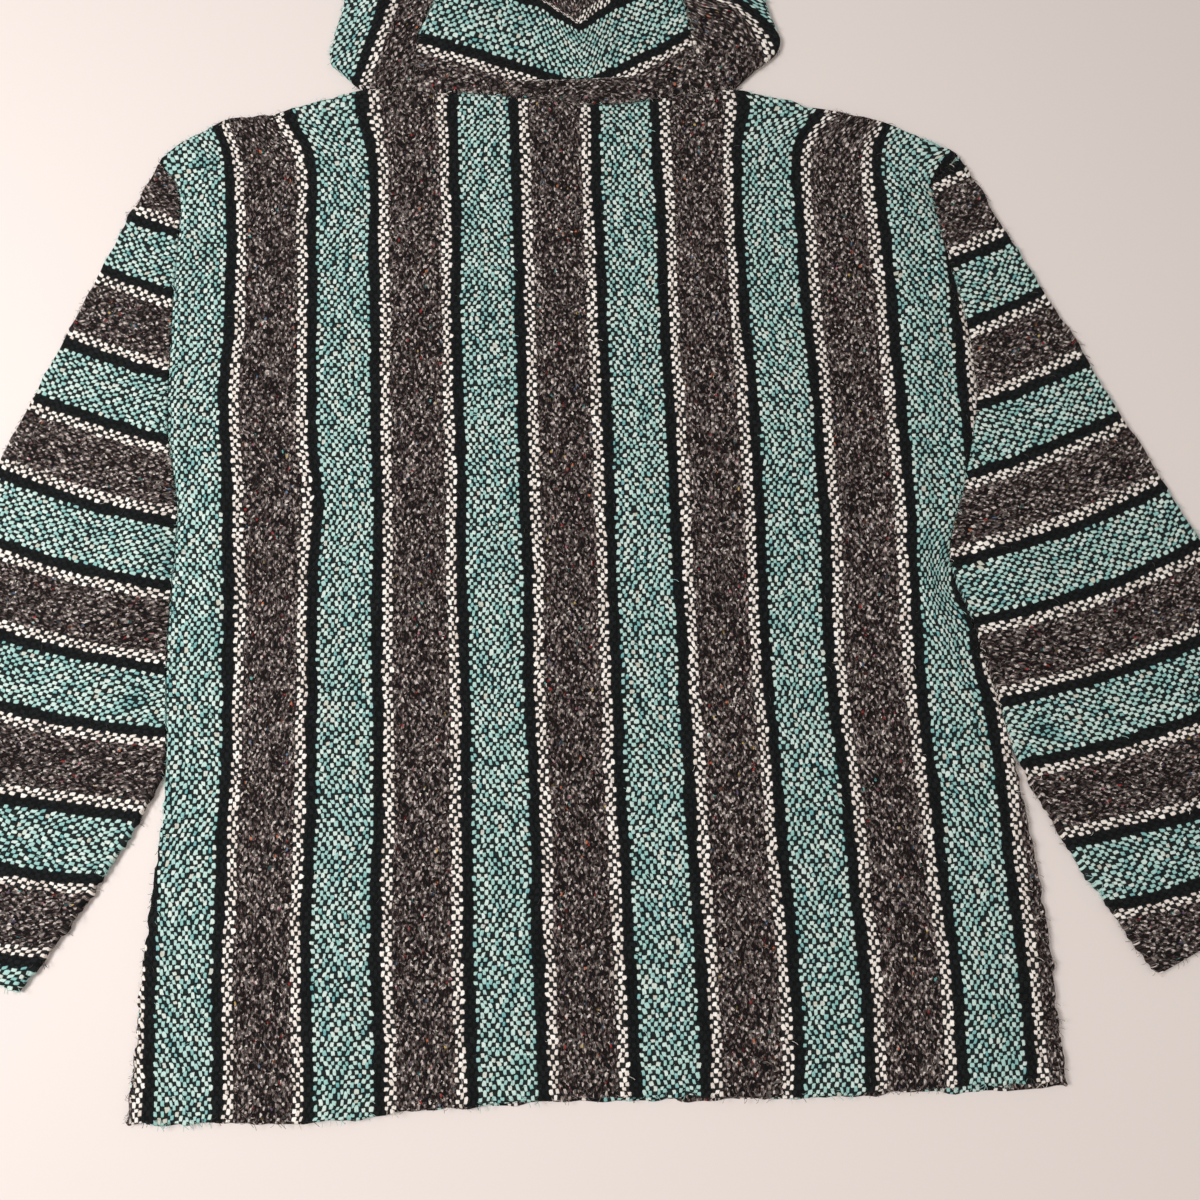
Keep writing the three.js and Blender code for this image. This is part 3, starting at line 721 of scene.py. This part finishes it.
x, down, from_side, from_top, from_hem = body_grid(front_top, front_hem, columns=130, rows=120)
sink = edge_sink(np.minimum(np.minimum(from_side, from_top), from_hem))
out_shown, down_shown = ragged_outline(x, down, from_side, from_top, from_hem, 8)
front = make_cloth(
    "front_panel_cloth",
    place(out_shown, down_shown, wall - sink),
    place(out_shown, down_shown, under_share * sink),
    body_stripes(x + front_shift, down),
    near_outline(np.minimum(from_side, from_hem)),
)
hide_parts("front_panel")
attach(front, "root")

# Sleeves. Each is one cut of the cloth with the stripes round the arm, folded to a tube and
# sewn along the inner side, then sewn to the body and pressed flat. Their cuffs are plain.
side_rows = 24.0
armhole_rows = 11.0
touch_rows = 5.0
sleeve_length = 560.0
sleeve_angle = math.radians(25.5)
cuff_width = 182.0
sleeve_rings = 15.0
bend = 5.0
teal_middle = 52.25  # stripe coordinate of the middle of a teal stripe
first_teal = {"left": 69.0, "right": 98.0}  # where it lies along the sleeve
tip_shift = {"left": 0.0, "right": 8.0}
stripe_sag = 0.0009
sleeve_folds = {
    "x": [64, 126, 60, 100],
    "down": [96, 300, 330, 452],
    "length": [150, 190, 150, 130],
    "width": [22, 24, 26, 24],
    "height": [3.6, 4.6, 3.2, 2.8],
    "turn": [18, 4, -42, 36],
}
sleeve_creases = {
    "x": [40, 92, 150, 30, 112, 64, 150, 84],
    "down": [70, 150, 214, 230, 350, 400, 420, 520],
    "length": [100, 120, 130, 120, 110, 120, 110, 90],
    "width": [8, 10, 9, 9, 10, 9, 10, 10],
    "height": [-2.4, 1.6, -2.6, 1.4, -2.4, 1.4, -2.0, 1.3],
    "turn": [24, -16, 10, -8, -36, 30, 12, -24],
}


def sleeve(side, seed):
    sign = -1.0 if side == "left" else 1.0
    tip_down = back_top["down"][0 if side == "left" else -1]
    foot_down = hem_edge["down"][0 if side == "left" else -1]

    def side_at(row):
        level = lerp(tip_down, foot_down, row / side_rows)
        out = read(body_sides, "down", side, level) + sign * seam
        return np.stack(np.broadcast_arrays(out, level), axis=-1)

    tip = side_at(np.array(0.0))
    away = np.array([sign * math.sin(sleeve_angle), math.cos(sleeve_angle)])
    inwards = np.array([-sign * away[1], sign * away[0]])
    cuff_outer = tip + away * sleeve_length
    cuff_inner = cuff_outer + inwards * cuff_width
    leave = side_at(np.array(armhole_rows + touch_rows))

    def inner_at(ring):
        part = np.clip((ring - touch_rows) / (sleeve_rings - touch_rows), 0, 1)[..., None]
        free = lerp(leave, cuff_inner, part) + 4 * bend * part * (1 - part) * inwards
        joined = side_at(armhole_rows + np.minimum(ring, touch_rows))
        return np.where(ring[..., None] <= touch_rows, joined, free)

    def flat_at(across, ring):
        part = (ring / sleeve_rings)[..., None]
        outer = lerp(tip, cuff_outer, part)
        straight = lerp(tip, side_at(np.array(armhole_rows)), across[..., None])
        pull = (1 - part) ** 3 * (side_at(across * armhole_rows) - straight)
        return lerp(outer, inner_at(ring), across[..., None]) + pull

    # Once round from the underarm seam: upper layer, outer fold, lower layer and back
    arc = np.linspace(0, 90, 7)
    over = spread(64, 180.0)[1:-1]
    across = np.concatenate([0 * arc + 1, 1 - over, 0 * arc, 0 * arc[1:], over, 0 * arc[1:] + 1])[:, None]
    angle = np.concatenate([arc, 0 * over + 90, arc[::-1], -arc[1:], 0 * over - 90, -arc[::-1][:-1]])[:, None]
    rings = (spread(150, sleeve_length) * sleeve_rings)[None, :]
    across, angle, ring = (grid.copy() for grid in np.broadcast_arrays(across, angle, rings))
    width = np.linalg.norm(flat_at(1 + 0 * ring, ring) - flat_at(0 * ring, ring), axis=-1)
    held = np.clip(across, fold_radius / width, 1 - fold_radius / width)
    flat = flat_at(held, ring)
    end = flat_at(across, ring)
    along = (flat[..., 0] - tip[0]) * away[0] + (flat[..., 1] - tip[1]) * away[1]
    out = (flat[..., 0] - tip[0]) * inwards[0] + (flat[..., 1] - tip[1]) * inwards[1]
    fade = smoothstep(np.minimum(across, 1 - across), 0, 0.16) * smoothstep(ring, 0, 2)
    hem = smoothstep(sleeve_rings - ring, -0.5, 1.5)
    high = fold_height(sleeve_folds, out, along) * fade * hem
    high = high + (fold_height(sleeve_creases, out, along) + ripple(out + 300, along)) * fade
    lift = np.where(angle > 0, np.maximum(high, 0), 0)
    radians = np.radians(angle)
    from_end = np.minimum(ring, sleeve_rings - ring) / sleeve_rings * sleeve_length
    from_cuff = (sleeve_rings - ring) / sleeve_rings * sleeve_length
    from_body = ring / sleeve_rings * sleeve_length
    sink = np.maximum(edge_sink(from_cuff), edge_sink(from_body, seam_reach))
    faces = []
    steps = ragged(ring.shape[1], seed)[None, :] * np.cos(radians) ** 2
    free = np.where(across < 0.5, -1.0, smoothstep(ring, touch_rows + 0.3, touch_rows + 0.6))
    rough = (steps * free)[..., None] * inwards
    for radius in (fold_radius - sink, fold_radius - wall + under_share * sink):
        spot = lerp(flat, end, (radius / fold_radius * np.cos(radians))[..., None]) + rough
        faces.append(place(spot[..., 0], spot[..., 1], fold_radius + radius * np.sin(radians) + lift))
    below = np.where(angle < 0, -out, out)
    near_tip = tip_shift[side] * np.exp(-((along / 60) ** 2))
    round_arm = teal_middle + along + stripe_sag * out**2 - first_teal[side] + near_tip
    stripes = np.stack([round_arm, below], axis=-1)
    stripes = np.concatenate([stripes, stripes[:1]])
    stripes[-1, :, 1] = -stripes[0, :, 1]
    name = "sleeve_" + side
    near_edge = np.maximum(0.5 * np.cos(radians) ** 2, near_outline(from_end))
    piece = make_cloth(name + "_cloth", faces[0], faces[1], stripes, near_edge, tube=True)
    hairs = loose_fibres(piece, seed)
    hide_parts(name)
    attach(piece, "root")
    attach(hairs, "root")


sleeve("left", 21)
sleeve("right", 22)

# Hood, middle strip. One cut from the neck seam over the crown to the forehead edge, on the bias,
# so that its stripes meet in a V. The hood lies flat, and the strip turns under at the crown.
hood_edges = {
    "up": [8, 17, 40, 60, 90, 150, 220, 270, 300, 318],
    "outer_left": [142, 147, 169, 168, 160, 160, 156, 141, 121, 100],
    "strip_left": [112, 109, 106, 104, 92, 91, 93, 91, 86, 80],
    "strip_right": [120, 117, 104, 101, 97, 93, 94, 91, 86, 80],
    "outer_right": [133, 142, 168, 165, 157, 159, 156, 141, 121, 100],
}
black_middle = 29.85  # stripe coordinate of the middle of a black stripe
black_spacing = 44.5  # from one black stripe to the next across the teal
# The two black stripes that the photo shows on the strip, each bent to a V: the V's tip, and how
# steeply its arms rise to the left and to the right
low_v = {"x": 20.5, "up": 11.9, "left": -0.369, "right": 0.52}
high_v = {"x": 18, "up": 58.3, "left": 0.84, "right": 0.72}
steep_reach = 30  # how far from its tip the upper V is steep
flat_slope = 0.4  # how steep it is beyond
below_reach = 46  # below the lower V the cloth stays brown, at most this far from the black
strip_width = 200.0
strip_length = 310.0
hood_top = 318.0
crown_rise = 14.0
crown_turn = 44.0
crown_up = hood_top - fold_radius
hood_folds = {
    "x": [18, -66, 62, -134, 134, 0],
    "down": [-58, -110, -150, -84, -66, -262],
    "length": [90, 160, 170, 120, 110, 150],
    "width": [24, 22, 24, 17, 18, 24],
    "height": [3.4, 3.0, 3.2, 3.4, 3.8, 3.6],
    "turn": [2, -14, 10, 6, -12, 84],
}
hood_creases = {
    "x": [-30, 40, -76, 82, 10, -40, 50, 12, 6],
    "down": [-44, -84, -60, -54, -190, -230, -210, -20, -9],
    "length": [70, 80, 60, 60, 120, 110, 100, 190, 230],
    "width": [10, 11, 8, 8, 13, 12, 12, 3.5, 7],
    "height": [-1.0, 1.0, -1.1, -1.0, -1.0, 0.9, 0.9, -1.4, 1.8],
    "turn": [-30, 24, 10, -14, 60, -40, 30, 90, 90],
}


def hood_edge(side, which, up):
    return read(hood_edges, "up", which + "_" + side, up)


def strip_seam(side, part):
    """The seam between the middle strip and a side, from the neck to the crown."""
    sign = -1 if side == "left" else 1
    corner = neck_left if side == "left" else neck_right
    foot_x = hood_edge(side, "strip", -corner[1])
    up = lerp(neck_seam - top_edge(sign * foot_x), crown_up, part)
    return hood_edge(side, "strip", up), up


def chevron_stripes(x, up):
    """Stripe coordinates of the bias strip, whose stripes fall from both sides to its middle."""
    off = x - low_v["x"]
    lower = low_v["up"] + np.where(off < 0, low_v["left"] * off, low_v["right"] * off)
    apart = np.abs(x - high_v["x"])
    slope = np.where(x < high_v["x"], high_v["left"], high_v["right"])
    beyond = flat_slope * np.maximum(apart - steep_reach, 0)
    higher = high_v["up"] + slope * np.minimum(apart, steep_reach) + beyond
    gap = np.clip(higher - lower, 44, 62)
    high = up - lower
    below = -below_reach * np.tanh(-high / below_reach)
    across = np.where(high > 0, high * black_spacing / gap, below)
    # Brown lies straight along the neck seam, and no white shows above the upper V on the left
    band = smoothstep(up, 19.4, 18.2)
    across = across + band * (np.minimum(across, up - 19.5 - 13) - across)
    jump = 7.6 * smoothstep(across, 46, 49) * (1 - smoothstep(x, 14, 20))
    along = 0.93 * off + 0.37 * up * np.tanh(off / 25)
    return np.stack(np.broadcast_arrays(black_middle + across + jump, along), axis=-1)


across = spread(64, strip_width)[:, None]
near_neck = np.array([0, 0.5, 1.2, 2.2, *np.arange(3.4, 36, 1.1)])
rise_part = np.concatenate([near_neck, np.arange(38, 308, 2.9)]) / strip_length
arc = np.linspace(90, -90, 13)
back_part = np.linspace(0, 1, 18)[1:]
part = np.concatenate([rise_part, 0 * arc + 1, 0 * back_part + 1])[None, :]
angle = np.concatenate([0 * rise_part + 90, arc, 0 * back_part - 90])[None, :]
back_way = np.concatenate([0 * rise_part, 0 * arc, back_part])[None, :]
left_out, left_up = strip_seam("left", part)
right_out, right_up = strip_seam("right", part)
foot_left, foot_left_up = strip_seam("left", 0.0)
foot_right, foot_right_up = strip_seam("right", 0.0)
foot_x = lerp(-foot_left, foot_right, across)
sag = neck_seam - top_edge(foot_x) - lerp(foot_left_up, foot_right_up, across)
crown = crown_rise * (1 - (2 * across - 1) ** 2)
rise = lerp(left_up, right_up, across) + (1 - part) * sag + part * crown
up = rise - back_way * (crown_turn + crown)
side_up = crown_up - back_way * crown_turn
x_rising = lerp(-left_out, right_out, across)
x_turned = lerp(-hood_edge("left", "strip", side_up), hood_edge("right", "strip", side_up), across)
x = np.where(part < 1, x_rising, x_turned)
near_seam = smoothstep(np.minimum(across, 1 - across), 0, 0.14)
near_ends = smoothstep(part, 0, 0.12) * smoothstep(1 - part, 0, 0.1)
high = fold_height(hood_folds, x, -up) + fold_height(hood_creases, x, -up) + ripple(x - 90, -up)
lift = np.where(angle > 0, np.maximum(high * near_seam * near_ends, 0), 0)
radians = np.radians(angle)
from_seam = np.minimum(across, 1 - across) * strip_width
from_foot = part * strip_length
from_forehead = np.where(back_way > 0, (1 - back_way) * crown_turn, 99.0)
sink = edge_sink(np.minimum(np.minimum(from_seam, from_foot), from_forehead))
faces = []
for radius in (fold_radius - sink, fold_radius - wall + under_share * sink):
    over = radius * np.cos(radians)
    faces.append(place(x, -(up + over), fold_radius + radius * np.sin(radians) + lift))
turned = (90 - angle) / 180 * math.pi * fold_radius + back_way * (crown_turn + crown)
hood_centre = make_cloth(
    "hood_centre_cloth",
    faces[0],
    faces[1],
    chevron_stripes(x + 0 * up, rise + turned),
    near_outline(np.minimum(from_seam, from_foot)) + 0.5 * np.cos(radians) ** 2 * (part >= 1),
)
hood_fibres = loose_fibres(hood_centre, 31)
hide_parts("hood_centre")
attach(hood_centre, "root")
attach(hood_fibres, "root")

# Hood, sides. Each side is one cut from the strip's seam round a soft outer fold and back under
# the hood to the face opening, whose edge ends at the foot of the V neck. It lies on itself.
face_edge = {"up": [-128, -60, 0, 80, 200, 274], "out": [4, 34, 55, 72, 86, 90]}
right_black = {"up": [40, 45, 57, 67, 79, 90], "out": [168, 166, 160, 152, 136, 128]}
meet_part = 0.965  # how far down the V the face opening ends
beside_flap = 3.0
stripe_scale = {"left": 0.945, "right": 0.8}  # under 1, so the stripes lie wider than they are woven
side_length = 320.0
top_width = 60.0
low_width = 90.0


def hood_side(side, seed):
    sign = -1.0 if side == "left" else 1.0
    corner = neck_left if side == "left" else neck_right
    part = spread(110, side_length)[None, :]
    strip_out, strip_up = strip_seam(side, part)
    strip_x = strip_out + seam
    outer_up = lerp(neck_seam - corner[1], crown_up, part)
    outer_x = hood_edge(side, "outer", outer_up) - fold_radius
    foot_x = sign * lerp(corner[0], neck_point[0], meet_part)
    foot_up = neck_seam - lerp(corner[1], neck_point[1], meet_part)
    face_up = lerp(foot_up, crown_up, part)
    to_foot = (1 - part) ** 6 * (foot_x - read(face_edge, "up", "out", foot_up))
    face_x = read(face_edge, "up", "out", face_up) + to_foot
    by_flap = smoothstep(face_up, crown_up - crown_turn - 12, crown_up - crown_turn - 6)
    face_x = lerp(face_x, np.maximum(face_x, hood_edge(side, "strip", face_up) + beside_flap), by_flap)

    arc = np.linspace(90, -90, 13)
    out_top = spread(24, top_width)[:-1]
    out_low = 1 - spread(36, low_width)[1:]
    out = np.concatenate([out_top, 0 * arc + 1, out_low])[:, None]
    angle = np.concatenate([0 * out_top + 90, arc, 0 * out_low - 90])[:, None]
    is_low = angle < 0
    from_x = np.where(is_low, face_x, strip_x)
    from_up = np.where(is_low, face_up, strip_up)
    x = lerp(from_x, outer_x, out)
    foot_strip_out, foot_strip_up = strip_seam(side, 0.0)
    foot_outer = hood_edge(side, "outer", neck_seam - corner[1]) - fold_radius
    foot_line = lerp(foot_strip_out + seam, foot_outer, out)
    sag = neck_seam - top_edge(sign * foot_line) - lerp(foot_strip_up, neck_seam - corner[1], out)
    on_top = angle > 89.9
    up = lerp(from_up, outer_up, out) + np.where(on_top, (1 - part) ** 4 * sag, 0)
    fade = np.where(on_top, np.sin(np.pi * np.clip(out, 0, 1)), 0)
    ends = smoothstep(part, 0, 0.12) * smoothstep(1 - part, 0, 0.1)
    high = fold_height(hood_folds, sign * x, -up) + ripple(sign * x + 40, -up)
    lift = np.maximum(high * fade * ends, 0)
    radians = np.radians(angle)
    from_edge = out * np.where(is_low, low_width, top_width) + 0 * part
    from_end = np.minimum(part, 1 - part) * side_length + 0 * out
    sink = edge_sink(np.minimum(from_edge, from_end))
    faces = []
    for radius in (fold_radius - sink, fold_radius - wall + under_share * sink):
        over = radius * np.cos(radians)
        edge_x = x + over + ragged(part.shape[1], seed)[None, :] * np.cos(radians) ** 2
        faces.append(place(sign * edge_x, -up, fold_radius + radius * np.sin(radians) + lift))

    # The stripes run up the side; the cloth's own width goes on round the outer fold
    round_fold = np.where(is_low, 2 * outer_x - x, x) + (90 - angle) / 180 * math.pi * fold_radius
    level = np.clip(up, -140, 400)
    if side == "left":
        black_at = 128 + (89 - np.clip(level, 20, 89)) * 22 / 63
    else:
        black_at = np.interp(level, right_black["up"], right_black["out"])
    across = black_middle + (round_fold - black_at) * stripe_scale[side]
    stripes = np.stack(np.broadcast_arrays(across, up), axis=-1)
    name = "hood_side_" + side
    near_edge = np.maximum(0.5 * np.cos(radians) ** 2, near_outline(np.minimum(from_edge, from_end)))
    piece = make_cloth(name + "_cloth", faces[0], faces[1], stripes, near_edge)
    hairs = loose_fibres(piece, seed)
    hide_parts(name)
    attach(piece, "root")
    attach(hairs, "root")


hood_side("left", 41)
hood_side("right", 42)
